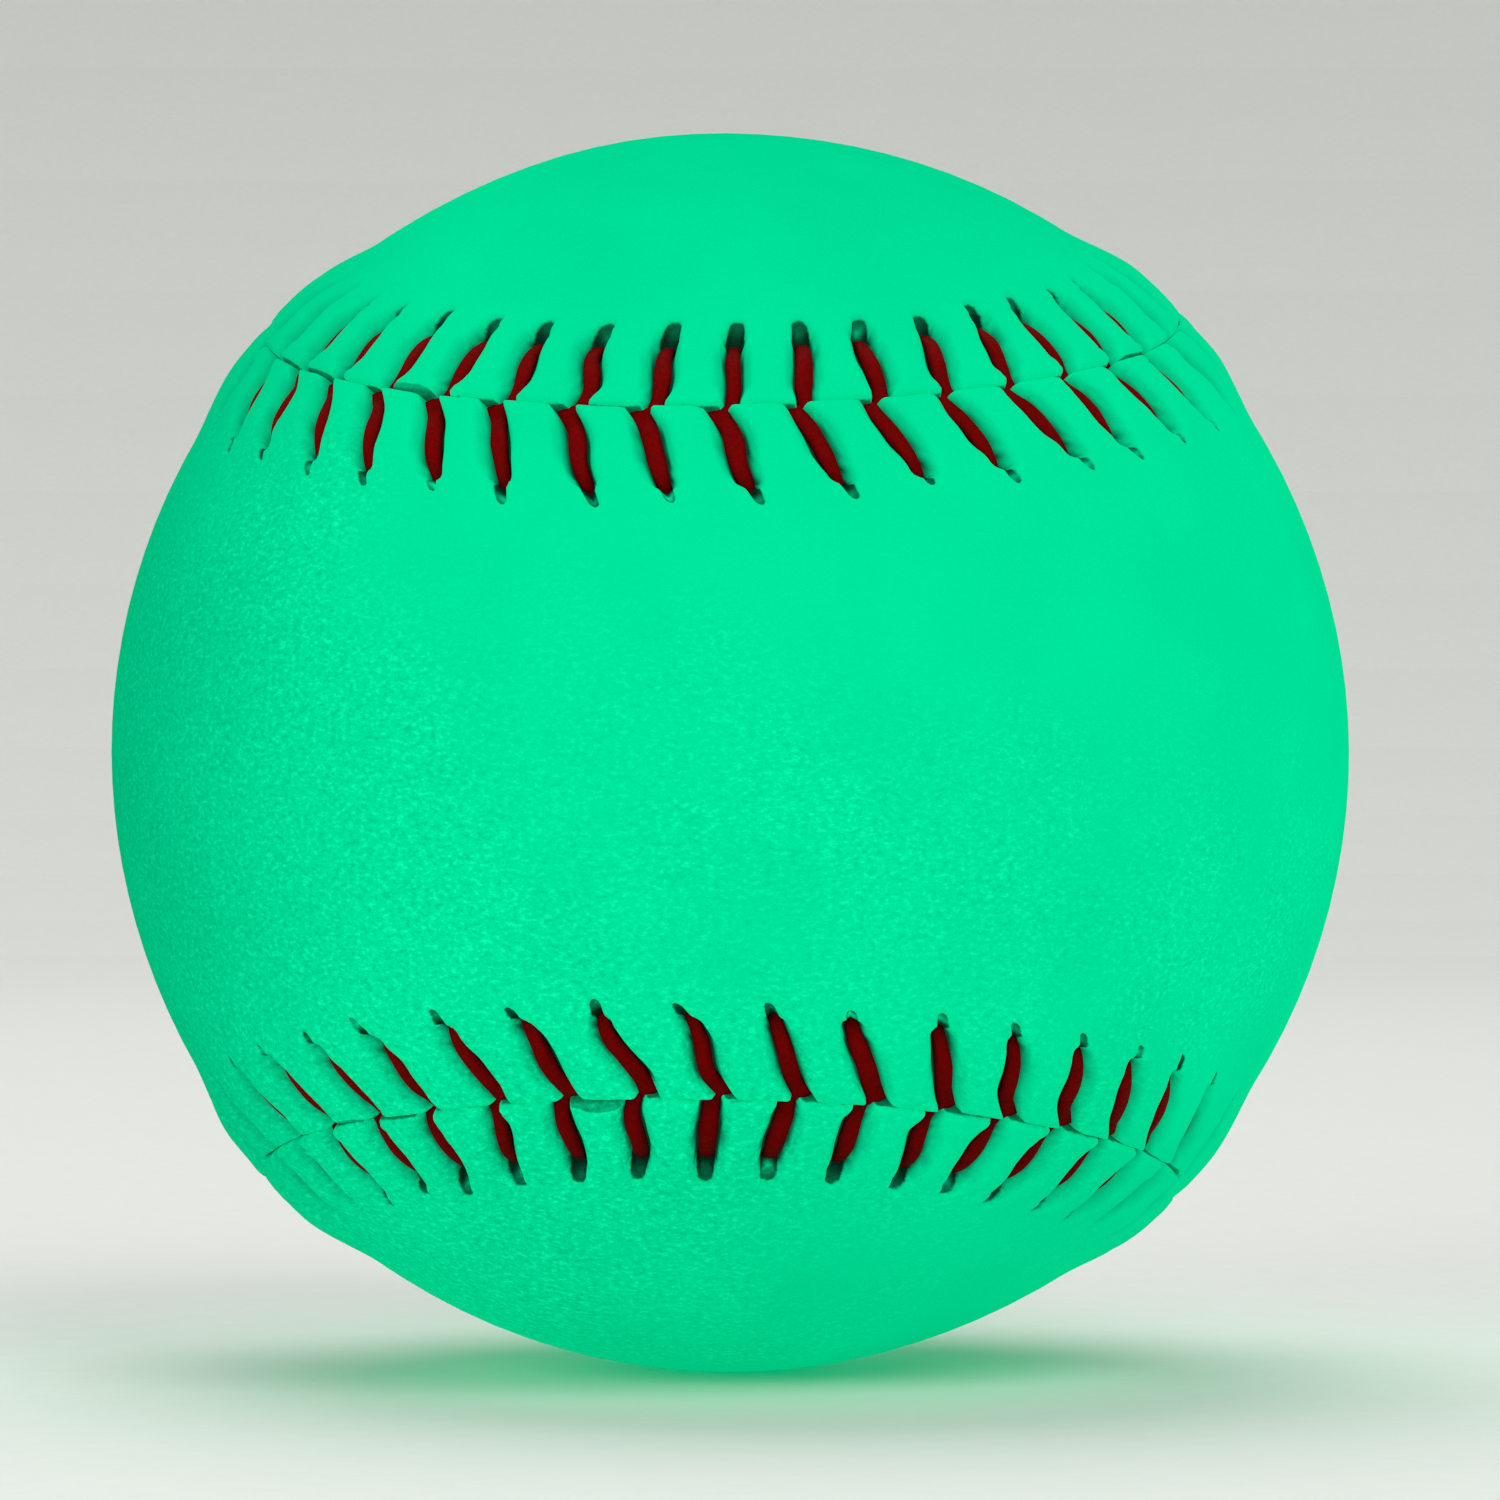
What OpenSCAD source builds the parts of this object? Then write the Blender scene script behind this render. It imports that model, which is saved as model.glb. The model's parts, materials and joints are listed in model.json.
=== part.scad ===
// Stitched baseball with a cover that glows in the dark, all sizes in millimetres.
// The origin is the centre of the ball, +Z is up and the front, where the two
// seams come closest, faces -Y.

/* [Ball] */
// Diameter over the cover, away from the raised seam
ball_diameter = 74; // [72:0.5:76]
// Thickness of the cover leather
cover_thickness = 1.3; // [1.2:0.05:1.6]

/* [Seam] */
// Straight distance between the two seams where they come closest
waist_width = 38.4; // [35:0.2:41]
// Gap between the edges of the two panels
seam_gap = 0.16; // [0.1:0.02:0.24]
// Height of the seam's crest over the ball
seam_height = 0.45; // [0.3:0.05:0.6]
// Distance from the seam to the crest on each side
crest_offset = 1; // [0.8:0.1:1.4]
// How far the raised leather reaches past the needle holes
lip_margin = 0.4; // [0.3:0.05:0.6]

/* [Stitching] */
// Stitches along each of the seam's four lobes
stitches_per_lobe = 22; // [18:1:24]
// Distance from the seam to the row of needle holes on each panel
hole_offset = 5.3; // [4.8:0.1:5.8]
// Diameter of a needle hole
hole_diameter = 1.4; // [1.3:0.05:1.6]
// How far a hole in the front panel lies ahead of its stitch
front_lead = 1.8; // [1.2:0.1:2.2]
// How far a hole in the rear panel lies ahead of its stitch
rear_lead = 0.8; // [0.4:0.1:1.2]
// Width of the thread where it lies on the leather
thread_width = 1.1; // [0.9:0.05:1.15]
// Thickness of the thread where it lies on the leather
thread_thickness = 0.8; // [0.6:0.05:0.85]
// Thickness of the thread where it is pressed flat under the cover
buried_thickness = 0.5; // [0.4:0.05:0.6]
// Room left round the thread
thread_clearance = 0.1; // [0.06:0.02:0.12]

/* [Centre] */
// Diameter of the cork ball in the middle
cork_diameter = 20.6; // [18:0.2:24]
// Wall of the two rubber cups round the cork
cup_thickness = 4; // [3:0.1:5]
// Thickness of the washer between the two cups
gasket_thickness = 0.8; // [0.5:0.1:1.5]
// Wall of the rubber jacket over the cups
jacket_thickness = 3.2; // [2.4:0.1:4]

/* [Windings] */
// Thickness of the second winding, of white wool
second_thickness = 1.7; // [1:0.1:2.5]
// Thickness of the third winding, of grey wool
third_thickness = 1.7; // [1:0.1:2.5]
// Thickness of the finish winding, of fine cotton
finish_thickness = 1.2; // [1.1:0.1:2]
// Room between two neighbouring layers
layer_clearance = 0.05; // [0.02:0.01:0.1]

/* [Hidden] */
$fn = 96;

glow_green = "#01E69B";
thread_red = "#700507";
cork_brown = "#A97B50";
cup_black = "#1E1E1E";
rubber_red = "#9E2B25";
wool_grey = "#8B8C8A";
wool_white = "#E9E6DC";
cotton_cream = "#EFE7D3";

// Radii of the layers, from the cover inwards and from the cork outwards
ball_radius = ball_diameter / 2;
cover_inside = ball_radius - cover_thickness;
finish_radius = cover_inside - layer_clearance;
third_radius = finish_radius - finish_thickness;
second_radius = third_radius - third_thickness;
first_radius = second_radius - second_thickness;
cork_radius = cork_diameter / 2;
cup_inside = cork_radius + layer_clearance;
cup_radius = cup_inside + cup_thickness;
jacket_inside = cup_radius + layer_clearance;
jacket_radius = jacket_inside + jacket_thickness;

// The seam is four equal arcs of circles drawn on the ball, each touching the next.
// Even arcs bound the rear panel's ends, odd arcs bound the front panel's ends.
waist_angle = asin(waist_width / ball_diameter);
lobe_angle = atan((sqrt(2) - sin(waist_angle)) / cos(waist_angle));
lobe_tilt = waist_angle + lobe_angle;
lobe_sweep = acos(-1 / (tan(lobe_tilt) * tan(lobe_angle)));
lobe_length = 2 * lobe_sweep * PI / 180 * ball_radius * sin(lobe_angle);
REAR = 0;
FRONT = 1;
beyond = 2 * ball_radius;

// How far a panel's end arcs stand back behind its waist arcs, a plain small step where they meet
arc_step = 0.02;

// Raised leather along the seam
edge_setback = 0.05;
lip_start = seam_gap / 2 + edge_setback;
lip_edge_height = seam_height * 2 / 3;
lip_foot_height = 0.03;
lip_root = cover_thickness / 2;
lip_foot = hole_offset + hole_diameter / 2 + lip_margin;

// Stitches: places along the seam are counted in stitches, widths across it in millimetres
stitch_count = 4 * stitches_per_lobe;
stitch_pitch = lobe_length / stitches_per_lobe;
first_stitch = 0.55;
neck_width = 0.7 * thread_width;
neck_thickness = 0.85 * thread_thickness;
groove_diameter = thread_width + 2 * thread_clearance;
pass_spread = neck_width / 2 + thread_clearance;
pass_length = 2 * (pass_spread + neck_width / 2 + thread_clearance);
pass_width = neck_thickness + 4 * thread_clearance;
trough_reach = hole_offset + hole_diameter / 2 + 3 * thread_clearance;
trough_radius = cover_inside - buried_thickness - 2 * thread_clearance;
leg_rise = 0.1;
leg_sink = 0.05;
leg_radius = ball_radius + leg_rise;
sunk_radius = ball_radius - leg_sink;
buried_radius = cover_inside - thread_clearance - buried_thickness / 2;
bend_radius = buried_radius + thread_clearance;
thread_sides = 5;

// Turns a length along the ball's surface into an angle at its centre.
function surface_angle(length) = length / ball_radius * 180 / PI;
function inward(lobe) = lobe % 2 == 0 ? 1 : -1;
function wrapped(place) = place - stitch_count * floor(place / stitch_count);
function lobe_at(place) = floor(wrapped(place) / stitches_per_lobe);
function lobe_turn(lobe, place) =
    inward(lobe) * lobe_sweep * (2 * (wrapped(place) / stitches_per_lobe - lobe) - 1);
function lobe_polar(lobe, across) = lobe_angle - inward(lobe) * surface_angle(across);

// Carries a point from a lobe's own frame, with the lobe's centre on +Z, to the ball's frame.
function from_lobe(lobe, p) =
    let(
        side = p.y,
        rise = p.z * sin(lobe_tilt) - p.x * cos(lobe_tilt),
        out = p.z * cos(lobe_tilt) + p.x * sin(lobe_tilt),
        up = inward(lobe) * rise,
        quarter = 90 * lobe
    )
    [
        side * cos(quarter) - up * sin(quarter),
        -inward(lobe) * out,
        side * sin(quarter) + up * cos(quarter)
    ];

// The point at a place along the seam, some way across it towards the rear panel.
function seam_point(place, across, radius) =
    let(
        lobe = lobe_at(place),
        polar = lobe_polar(lobe, across),
        turn = lobe_turn(lobe, place)
    )
    from_lobe(lobe, radius * [sin(polar) * cos(turn), sin(polar) * sin(turn), cos(polar)]);

// Places of one stitch: its needle hole and where it passes between the panels.
function panel_sign(panel) = panel == REAR ? 1 : -1;
function lead(panel) = panel == REAR ? rear_lead : front_lead;
function stitch_place(stitch) = stitch + first_stitch;
function hole_place(stitch, panel) = stitch_place(stitch) + lead(panel) / stitch_pitch;
function pass_place(stitch, panel) = stitch_place(stitch) + panel_sign(panel) * pass_spread / stitch_pitch;
function hole_point(stitch, panel, radius) =
    seam_point(hole_place(stitch, panel), panel_sign(panel) * hole_offset, radius);
function pass_point(stitch, panel, radius) = seam_point(pass_place(stitch, panel), 0, radius);
function leg_point(stitch, panel, share, radius) =
    let(from = hole_place(stitch, panel), to = pass_place(stitch, panel))
    seam_point(from + share * (to - from), panel_sign(panel) * hole_offset * (1 - share), radius);
function buried_point(stitch, panel, share, radius) =
    let(from = pass_place(stitch, panel), to = hole_place(stitch + 1, 1 - panel))
    seam_point(from + share * (to - from), -panel_sign(panel) * hole_offset * share, radius);

// A ring of the thread: its middle, the way it runs, its climb, width, thickness and turn.
function level(middle, from, to) =
    let(up = middle / norm(middle), way = to - from, flat = way - (way * up) * up)
    flat / norm(flat);
function ring(middle, way, climb, width, thickness, turn) =
    let(
        up = middle / norm(middle),
        aside = turn * cross(way, up),
        over = turn * (sin(climb) * way - cos(climb) * up)
    )
    [
        for (corner = [0 : thread_sides - 1])
            let(at = 90 + 360 * corner / thread_sides)
            middle + width / 2 * cos(at) * aside + thickness / 2 * sin(at) * over
    ];

// One leg: up through the needle hole, over the leather, down through the seam
// and on under the other panel to the next hole.
function leg_rings(stitch, panel) =
    let(
        turn = stitch % 2 == 0 ? 1 : -1,
        low_hole = hole_point(stitch, panel, bend_radius),
        top_hole = hole_point(stitch, panel, sunk_radius),
        belly = leg_point(stitch, panel, 0.5, leg_radius),
        top_pass = leg_point(stitch, panel, 0.97, sunk_radius),
        low_pass = pass_point(stitch, panel, bend_radius),
        buried = buried_point(stitch, panel, 0.5, buried_radius),
        arriving = level(low_hole, pass_point(stitch - 1, 1 - panel, bend_radius), low_hole),
        leg_way = level(top_hole, top_hole, top_pass),
        pass_way = level(top_pass, top_hole, top_pass),
        leaving = level(low_pass, low_pass, buried),
        buried_way = level(buried, low_pass, buried)
    )
    [
        ring(low_hole, arriving, 45, neck_width, buried_thickness, -turn),
        ring(top_hole, leg_way, 45, neck_width, neck_thickness, turn),
        ring(belly, leg_way, 0, thread_width, thread_thickness, turn),
        ring(top_pass, pass_way, -50, neck_width, neck_thickness, turn),
        ring(low_pass, leaving, -45, neck_width, buried_thickness, turn),
        ring(buried, buried_way, 0, thread_width, buried_thickness, turn)
    ];

// Solids shared by the sub-parts
module layer(outside, inside) {
    difference() {
        sphere(outside);
        sphere(inside);
    }
}

// Sets its children with +Z at the centre of one of the seam's lobes.
module at_lobe(lobe) {
    rotate([90, -90 * lobe, 0])
        rotate([180 * (lobe % 2) - lobe_tilt, 0, 0])
            rotate([0, 0, -90])
                children();
}

// The half of space in front of the ball's middle or behind it
module half_space(panel) {
    translate([-beyond, panel == FRONT ? 0 : -beyond, -beyond])
        cube([2 * beyond, beyond, 2 * beyond]);
}

module lobe_cone(angle) {
    cylinder(h = beyond * cos(angle), r1 = 0, r2 = beyond * sin(angle));
}

// Keeps the share of a ball layer that one panel covers, set back from the seam.
module panel_side(panel, setback) {
    difference() {
        children();
        for (lobe = [1 - panel, 3 - panel])
            at_lobe(lobe) lobe_cone(lobe_angle + surface_angle(setback));
        difference() {
            half_space(panel);
            for (lobe = [panel, panel + 2])
                at_lobe(lobe) lobe_cone(lobe_angle - surface_angle(setback + arc_step));
        }
    }
}

function lip_corner(height, offset) =
    let(polar = lobe_angle + surface_angle(offset))
    (ball_radius + height) * [sin(polar), cos(polar)];

// The raised lip of one panel along all four lobes
module seam_lip(panel) {
    for (lobe = [0 : 3]) {
        side = lobe % 2 == panel ? -1 : 1;
        intersection() {
            at_lobe(lobe)
                rotate_extrude()
                    polygon([
                        lip_corner(-lip_root, side * lip_start),
                        lip_corner(lip_edge_height, side * lip_start),
                        lip_corner(seam_height, side * crest_offset),
                        lip_corner(lip_foot_height, side * lip_foot),
                        lip_corner(-lip_root, side * lip_foot)
                    ]);
            half_space(lobe % 2);
        }
    }
}

// A round rod between two points
module rod(from, to, diameter) {
    way = to - from;
    translate(from)
        rotate([0, acos(way.z / norm(way)), atan2(way.y, way.x)])
            cylinder(h = norm(way), d = diameter);
}

// Sets its children on the seam, with +Z outwards and +X towards the rear panel.
module at_seam(place) {
    lobe = lobe_at(place);
    at_lobe(lobe)
        rotate([0, 0, lobe_turn(lobe, place)])
            rotate([0, lobe_angle, 0])
                rotate([0, 0, 90 + 90 * inward(lobe)])
                    children();
}

// Needle holes, thread grooves and the openings where the thread passes the seam
module stitch_cuts(panel) {
    for (stitch = [0 : stitch_count - 1]) {
        rod(
            hole_point(stitch, panel, trough_radius),
            hole_point(stitch, panel, ball_radius + 2 * seam_height),
            hole_diameter
        );
        rod(
            hole_point(stitch, panel, leg_radius),
            pass_point(stitch, panel, leg_radius),
            groove_diameter
        );
        at_seam(stitch_place(stitch))
            translate([-pass_width / 2, -pass_length / 2, trough_radius])
                cube([pass_width, pass_length, beyond - ball_radius]);
    }
}

// The layer's own poles lie front and back, clear of the seam.
module cover_panel(panel) {
    difference() {
        union() {
            panel_side(panel, seam_gap / 2)
                rotate([90, 0, 0]) layer(ball_radius, cover_inside);
            seam_lip(panel);
        }
        stitch_cuts(panel);
    }
}

// One thread: every second stitch on each panel, closed into a loop
module thread(start) {
    rings = [
        for (stitch = [0 : stitch_count - 1])
            each leg_rings(stitch, (stitch + start) % 2)
    ];
    ring_count = len(rings);
    points = [for (one = rings) each one];
    faces = [
        for (now = [0 : ring_count - 1], corner = [0 : thread_sides - 1])
            let(
                next = (now + 1) % ring_count,
                beside = (corner + 1) % thread_sides,
                a = now * thread_sides + corner,
                b = now * thread_sides + beside,
                c = next * thread_sides + beside,
                d = next * thread_sides + corner
            )
            each [[a, d, c], [a, c, b]]
    ];
    polyhedron(points, faces);
}

module rubber_cup(up) {
    seat = gasket_thickness / 2 + layer_clearance;
    color(cup_black)
        mirror([0, 0, up ? 0 : 1])
            intersection() {
                layer(cup_radius, cup_inside);
                translate([-beyond, -beyond, seat])
                    cube([2 * beyond, 2 * beyond, beyond]);
            }
}

// Sub-parts
module cork_core() {
    color(cork_brown) sphere(cork_radius);
}

module upper_rubber_cup() {
    rubber_cup(true);
}

module lower_rubber_cup() {
    rubber_cup(false);
}

module cup_gasket() {
    color(rubber_red)
        translate([0, 0, -gasket_thickness / 2])
            difference() {
                cylinder(h = gasket_thickness, r = sqrt(pow(cup_radius, 2) - pow(gasket_thickness / 2, 2)));
                translate([0, 0, -gasket_thickness])
                    cylinder(h = 3 * gasket_thickness, r = cup_inside);
            }
}

module rubber_jacket() {
    color(rubber_red) layer(jacket_radius, jacket_inside);
}

module first_winding() {
    color(wool_grey) layer(first_radius, jacket_radius + layer_clearance);
}

module second_winding() {
    color(wool_white) layer(second_radius, first_radius + layer_clearance);
}

module third_winding() {
    color(wool_grey) layer(third_radius, second_radius + layer_clearance);
}

// The finish winding yields under the seam, where the thread runs below the cover.
module finish_winding() {
    color(cotton_cream)
        union() {
            layer(trough_radius, third_radius + layer_clearance);
            for (panel = [REAR, FRONT])
                panel_side(panel, trough_reach)
                    layer(finish_radius, (trough_radius + third_radius) / 2);
        }
}

module front_cover_panel() {
    color(glow_green) cover_panel(FRONT);
}

module rear_cover_panel() {
    color(glow_green) cover_panel(REAR);
}

module first_thread() {
    color(thread_red) thread(0);
}

module second_thread() {
    color(thread_red) thread(1);
}

cork_core();
upper_rubber_cup();
lower_rubber_cup();
cup_gasket();
rubber_jacket();
first_winding();
second_winding();
third_winding();
finish_winding();
front_cover_panel();
rear_cover_panel();
first_thread();
second_thread();
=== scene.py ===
"""A stitched baseball whose cover glows green in the dark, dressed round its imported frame."""
import json
import math

import bpy
import numpy as np
from bpy.props import FloatProperty, FloatVectorProperty, IntProperty, PointerProperty
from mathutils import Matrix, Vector


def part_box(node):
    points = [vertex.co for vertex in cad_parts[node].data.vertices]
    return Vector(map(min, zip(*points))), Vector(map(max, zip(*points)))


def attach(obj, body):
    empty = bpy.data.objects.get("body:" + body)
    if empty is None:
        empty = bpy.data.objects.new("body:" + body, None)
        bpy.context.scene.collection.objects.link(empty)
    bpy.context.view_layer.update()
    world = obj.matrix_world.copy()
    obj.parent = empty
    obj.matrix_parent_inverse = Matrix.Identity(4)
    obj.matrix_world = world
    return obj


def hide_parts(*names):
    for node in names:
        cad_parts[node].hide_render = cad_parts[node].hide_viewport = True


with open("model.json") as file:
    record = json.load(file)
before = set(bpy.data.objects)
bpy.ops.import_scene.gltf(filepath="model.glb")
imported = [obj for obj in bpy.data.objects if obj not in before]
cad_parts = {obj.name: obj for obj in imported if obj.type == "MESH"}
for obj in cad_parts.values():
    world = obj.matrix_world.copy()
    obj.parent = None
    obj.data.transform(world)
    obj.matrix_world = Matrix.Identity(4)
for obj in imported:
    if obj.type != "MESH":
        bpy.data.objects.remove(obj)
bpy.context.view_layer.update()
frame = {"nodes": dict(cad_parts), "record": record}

bl_info = {
    "name": "Glowing baseball",
    "version": (1, 0, 0),
    "blender": (4, 5, 0),
    "location": "3D View > Sidebar > Baseball",
    "description": "Dresses a stitched ball that glows in the dark in its leather and thread",
    "category": "Object",
}

MM = 0.001
REST_HEIGHT = frame["record"]["mounts"][0]["pos_m"][2]

# The two sides of the seam: distances across it are counted towards the rear panel
REAR, FRONT = 1, -1

# Distances to bare leather are kept within this many millimetres
BARE_REACH = 0.5

# How many fine columns of a panel's mesh meet one coarse column
COARSER = 3

# Sockets of a Mix node that share their names: two values, two colours, and the colour that it gives
VALUE_A, VALUE_B, COLOUR_A, COLOUR_B, MIXED_COLOUR = 2, 3, 6, 7, 2


def linear(hex_colour):
    """Turns an sRGB hex colour into linear red, green and blue."""
    parts = [int(hex_colour[i:i + 2], 16) / 255 for i in (1, 3, 5)]
    return tuple(c / 12.92 if c <= 0.04045 else ((c + 0.055) / 1.055) ** 2.4 for c in parts)


def length(name, description, default):
    """A length property, whose default is in millimetres."""
    return FloatProperty(
        name=name, description=description, default=default * MM, unit="LENGTH", precision=5
    )


def colour(name, description, default):
    """A colour property, whose default is an sRGB hex value."""
    return FloatVectorProperty(
        name=name, description=description, default=linear(default), subtype="COLOR", min=0, max=1
    )


class BASEBALL_PG_sizes(bpy.types.PropertyGroup):
    """Sizes of the cover, the seam and the stitches."""

    ball_radius: FloatProperty(
        name="Ball radius", description="Radius of the cover, from the frame's rest point",
        default=-REST_HEIGHT, unit="LENGTH", precision=5,
    )
    cover_thickness: length("Cover thickness", "Thickness of the leather", 1.3)
    waist_width: length("Waist width", "Straight distance between the seams at the front", 38.4)
    seam_gap: length("Seam gap", "Gap between the edges of the two panels", 0.04)
    pad_height: length("Pad height", "Height of the leather between two stitches", 0.65)
    edge_depth: length("Edge depth", "How far a panel's edge rolls in at the seam", 0.05)
    edge_radius: length("Edge radius", "Radius of a panel's rolled edge", 0.3)
    groove_depth: length("Groove depth", "How deep a stitch presses into the leather", 0.65)
    stitches_per_lobe: IntProperty(
        name="Stitches per lobe", description="Stitches along each of the seam's four lobes", default=22
    )
    hole_offset: length("Hole offset", "Distance from the seam to the needle holes", 5.3)
    rear_hole_length: length("Rear hole length", "Length of a hole, drawn long by the thread", 2.1)
    rear_hole_width: length("Rear hole width", "Width of a needle hole in the rear panel", 1.2)
    front_hole_length: length("Front hole length", "Length of a hole, drawn long by the thread", 1.9)
    front_hole_width: length("Front hole width", "Width of a needle hole in the front panel", 0.74)
    # the bare line between the panels is painted dark as shade in their gap
    seam_line: length("Seam line", "Width of the bare, dark line between the panels", 0.02)
    rear_lead: length("Rear lead", "How far a rear hole lies ahead of its stitch", 0.8)
    front_lead: length("Front lead", "How far a front hole lies ahead of its stitch", 1.8)
    pass_spread: length("Pass spread", "Half the distance of a stitch's two legs at the seam", 0.3)
    groove_width: length("Groove width", "Width of the groove that a stitch lies in", 1.12)
    hook: length("Hook", "How far a front leg bends back where it dives at the seam", 0.3)
    thread_thickness: length("Thread thickness", "Thickness of the thread on the leather", 0.72)
    # the widest stretch of a panel's edge, which rolls wider and is darker
    widened_dark_edge: length("Worn edge", "Width of the widest worn stretch of an edge", 0.65)
    gape_stitch: IntProperty(
        name="Gape stitch", description="Stitch after which the rear panel's edge gapes most", default=55
    )
    sewing_seed: IntProperty(
        name="Sewing seed", description="Seed of the hand sewing's small differences", default=7
    )


class BASEBALL_PG_colours(bpy.types.PropertyGroup):
    """Colours of the finishes."""

    glow: colour("Glow", "Light of the cover in the dark", "#00C485")
    fleck: colour("Fleck", "Light of the coat's brightest grains", "#0EE6A2")
    cover: colour("Cover", "Leather under studio light", "#00764E")
    # painted shade: this dark tone stands for bare leather in shade, in needle holes, grooves and the
    # seam's gap
    shaded_bare_leather: colour("Bare leather", "Cut edges and needle holes", "#0B2E22")
    thread: colour("Thread", "Waxed thread", "#6A0101")
    cork: colour("Cork", "Ground cork", "#A97B50")
    black_rubber: colour("Black rubber", "Cups of the centre", "#1E1E1E")
    red_rubber: colour("Red rubber", "Jacket and washer of the centre", "#9E2B25")
    grey_wool: colour("Grey wool", "First and third winding", "#8B8C8A")
    white_wool: colour("White wool", "Second winding", "#E9E6DC")
    cotton: colour("Cotton", "Finish winding", "#EFE7D3")
    floor: colour("Floor", "Studio floor", "#E4E4E0")


def ramp(rise, low, high, value):
    """Climbs by rise from low to high, level at both ends: x squared times 3 less 2x."""
    x = np.clip((value - low) / (high - low), 0, 1)
    return rise * (x * x * (3 - 2 * x))


def rounded(share):
    """Quarter of a circle: steep at 0, level at 1."""
    return np.sqrt(1 - (1 - np.clip(share, 0, 1)) ** 2)


def bell(value, width):
    """1 at 0, falling to both sides: e to the power of minus the square of value over width."""
    return np.exp(-((value / width) ** 2))


def unit(vectors):
    """Vectors of length 1 along the given ones."""
    return vectors / np.linalg.norm(vectors, axis=1, keepdims=True)


class Seam:
    """The seam: four equal arcs of circles on the ball, each touching the next, and its stitches.

    Places along the seam are counted in stitches, distances across it in metres. Even arcs
    bound the rear panel's ends, odd arcs the front panel's.
    """

    arcs = 4
    # Place of the first stitch
    first_stitch = 0.55

    def __init__(self, sizes):
        self.sizes = sizes
        self.radius = sizes.ball_radius
        self.per_lobe = sizes.stitches_per_lobe
        self.count = self.arcs * self.per_lobe
        waist = math.asin(sizes.waist_width / (2 * self.radius))
        self.lobe_angle = math.atan((math.sqrt(2) - math.sin(waist)) / math.cos(waist))
        self.tilt = waist + self.lobe_angle
        self.sweep = math.acos(-1 / (math.tan(self.tilt) * math.tan(self.lobe_angle)))
        self.pitch = 2 * self.sweep * self.radius * math.sin(self.lobe_angle) / self.per_lobe
        self.lead = {REAR: sizes.rear_lead, FRONT: sizes.front_lead}
        self.hole_size = {
            REAR: (sizes.rear_hole_width, sizes.rear_hole_length),
            FRONT: (sizes.front_hole_width, sizes.front_hole_length),
        }
        self.draw_sewing(np.random.default_rng(sizes.sewing_seed))
        # the rear panel's edge is widest and darker after this stitch
        self.worn[REAR][sizes.gape_stitch] = sizes.widened_dark_edge

    def draw_sewing(self, random):
        """Small differences from stitch to stitch, as a hand leaves them, and painted glints in some needle
        holes: normal spreads about a mean, and widened, darker edges that a high power of an even draw
        makes rare."""
        sides = (REAR, FRONT)
        # painted glints: how bright the glint in each needle hole is, on the rear and on the front
        glint_mean, glint_spread = {REAR: 0.1, FRONT: 0.7}, 0.4
        widest, rarity = 0.7 * self.sizes.widened_dark_edge, 18
        self.lead_slip, self.hole_slip, self.sway, self.girth, self.swell = (
            {s: random.normal(mean, spread, self.count) for s in sides}
            for mean, spread in (
                (0, 0.2 * MM), (0, 0.16 * MM), (0.1 * MM, 0.12 * MM), (1, 0.07), (1, 0.1),
            )
        )
        self.glint = {s: np.clip(random.normal(glint_mean[s], glint_spread, self.count), 0, 1) for s in sides}
        self.worn = {s: widest * random.random(self.count) ** rarity for s in sides}

    def arc(self, place):
        """Which arc a place lies on, whether it bends round the rear (1) or the front (-1), and the
        turn about the arc's centre."""
        place = np.mod(place, self.count)
        lobe = np.minimum(np.floor(place / self.per_lobe), self.arcs - 1)
        inward = 1 - 2 * np.mod(lobe, 2)
        turn = inward * self.sweep * (2 * (place / self.per_lobe - lobe) - 1)
        return lobe, inward, turn

    def points(self, place, across, height):
        """Points on the ball: turn and polar angle about the arc's centre, tilted with the arc and
        carried a quarter turn on for each arc, at the ball's radius plus a height."""
        lobe, inward, turn = self.arc(place)
        polar = self.lobe_angle - inward * across / self.radius
        x, y, z = np.sin(polar) * np.cos(turn), np.sin(polar) * np.sin(turn), np.cos(polar)
        rise = inward * (z * math.sin(self.tilt) - x * math.cos(self.tilt))
        out = -inward * (z * math.cos(self.tilt) + x * math.sin(self.tilt))
        quarter = lobe * math.pi / 2
        ahead, up = np.cos(quarter), np.sin(quarter)
        outward = np.stack([y * ahead - rise * up, out, y * up + rise * ahead], axis=-1)
        return (self.radius + height)[..., None] * outward

    def reach(self, place, side):
        """Distance from the seam to a panel's middle: to the arc's centre on the panel's own arcs,
        and to the middle line of its waist on the others."""
        _, inward, turn = self.arc(place)
        middle = np.arctan2(math.sin(self.tilt), math.cos(self.tilt) * np.cos(turn))
        return self.radius * np.where(inward == side, self.lobe_angle, middle - self.lobe_angle)

    def stretch(self, place, side, away):
        """Length of one stitch at a distance from the seam: circles shrink towards an arc's centre."""
        _, inward, _ = self.arc(place)
        polar = self.lobe_angle - inward * side * away / self.radius
        return self.pitch * np.sin(polar) / math.sin(self.lobe_angle)

    def line_width(self, place):
        """Width of the bare line between the panels, painted dark as shade in their gap: three waves along
        the seam, shut in places.
        """
        mean, swing, widest = 0.75, 0.5, 2
        waves_and_phases = ((67, 0), (109, 1.3), (173, 4.2))
        turn = 2 * np.pi * place / self.count
        total = sum(np.sin(waves * turn + phase) for waves, phase in waves_and_phases)
        return self.sizes.seam_line * np.clip(mean + swing * total, 0, widest)

    def dark_edge_width(self, place, side):
        """Width of the widened, darker strip along a panel's rolled edge: a full lens between two stitches.
        """
        fullness = 0.8
        from_stitch = np.mod(place - self.first_stitch, self.count)
        before = np.floor(from_stitch).astype(int)
        return self.worn[side][before] * np.sin(np.pi * (from_stitch - before)) ** fullness

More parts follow.
